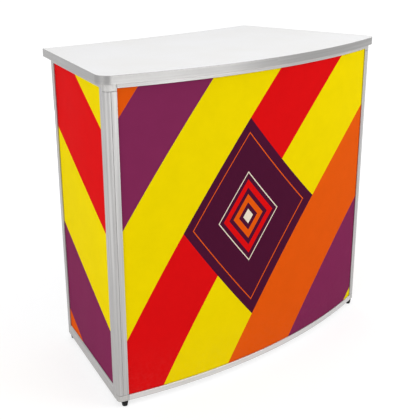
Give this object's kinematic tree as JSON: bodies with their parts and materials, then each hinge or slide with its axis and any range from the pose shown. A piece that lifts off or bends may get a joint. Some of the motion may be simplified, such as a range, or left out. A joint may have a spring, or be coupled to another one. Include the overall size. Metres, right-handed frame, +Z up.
{
  "type": "folding portable bar",
  "caption": "Portable bar with a bowed striped front panel, splayed side frames that fold in behind it on butt hinges, and a lift-off white countertop.",
  "frame": {"origin": "on the floor, below the middle of the countertop's plan box", "axes": "+Z up, +X along the front to the customer's right, +Y from the customer's side to the server's side"},
  "size_m": [1.17, 0.6266, 1.05],
  "materials": {
    "aluminium_profile": "satin anodised extrusion",
    "corner_block": "satin cast block",
    "white_laminate": "board faced with white laminate",
    "edge_band": "satin edge strip",
    "printed_panel": "plastic sheet printed with coloured diagonal stripes",
    "rubber": "moulded, matt",
    "hinge_steel": "zinc-plated, brushed",
    "magnet": "nickel-plated disc",
    "bush_plastic": "moulded"
  },
  "bodies": {
    "front_frame": {"front_left_post": "aluminium_profile", "front_left_top_block": "corner_block", "front_left_bottom_block": "corner_block", "front_left_foot": "rubber", "left_locating_pin": "hinge_steel", "left_lower_hinge_post_leaf": "hinge_steel", "left_lower_hinge_pin": "hinge_steel", "left_middle_hinge_post_leaf": "hinge_steel", "left_middle_hinge_pin": "hinge_steel", "left_upper_hinge_post_leaf": "hinge_steel", "left_upper_hinge_pin": "hinge_steel", "front_right_post": "aluminium_profile", "front_right_top_block": "corner_block", "front_right_bottom_block": "corner_block", "front_right_foot": "rubber", "right_locating_pin": "hinge_steel", "right_lower_hinge_post_leaf": "hinge_steel", "right_lower_hinge_pin": "hinge_steel", "right_middle_hinge_post_leaf": "hinge_steel", "right_middle_hinge_pin": "hinge_steel", "right_upper_hinge_post_leaf": "hinge_steel", "right_upper_hinge_pin": "hinge_steel", "front_panel": "printed_panel", "front_bottom_rail": "aluminium_profile", "front_top_rail": "aluminium_profile"},
    "left_side": {"left_front_stile": "aluminium_profile", "left_rear_stile": "aluminium_profile", "left_top_rail": "aluminium_profile", "left_bottom_rail": "aluminium_profile", "left_panel": "printed_panel", "left_magnet": "magnet", "left_rear_foot": "rubber", "left_front_lower_gusset": "hinge_steel", "left_front_upper_gusset": "hinge_steel", "left_rear_lower_gusset": "hinge_steel", "left_rear_upper_gusset": "hinge_steel", "left_lower_hinge_side_leaf": "hinge_steel", "left_middle_hinge_side_leaf": "hinge_steel", "left_upper_hinge_side_leaf": "hinge_steel"},
    "right_side": {"right_front_stile": "aluminium_profile", "right_rear_stile": "aluminium_profile", "right_top_rail": "aluminium_profile", "right_bottom_rail": "aluminium_profile", "right_panel": "printed_panel", "right_magnet": "magnet", "right_rear_foot": "rubber", "right_front_lower_gusset": "hinge_steel", "right_front_upper_gusset": "hinge_steel", "right_rear_lower_gusset": "hinge_steel", "right_rear_upper_gusset": "hinge_steel", "right_lower_hinge_side_leaf": "hinge_steel", "right_middle_hinge_side_leaf": "hinge_steel", "right_upper_hinge_side_leaf": "hinge_steel"},
    "countertop": {"countertop_board": "white_laminate", "countertop_edge_band": "edge_band", "left_locating_bush": "bush_plastic", "left_strike_plate": "hinge_steel", "right_locating_bush": "bush_plastic", "right_strike_plate": "hinge_steel"}
  },
  "joints": [
    {"name": "left_fold", "type": "hinge", "parent": "front_frame", "child": "left_side", "pos_m": [-0.52741, -0.20261, 0.5], "axis": [0, 0, -1], "range_deg": [0, 75.3]},
    {"name": "right_fold", "type": "hinge", "parent": "front_frame", "child": "right_side", "pos_m": [0.52741, -0.20261, 0.5], "axis": [0, 0, 1], "range_deg": [0, 75.3]},
    {"name": "countertop_lift", "type": "slide", "parent": "front_frame", "child": "countertop", "axis": [0, 0, 1], "range_m": [0, 0.4]}
  ]
}
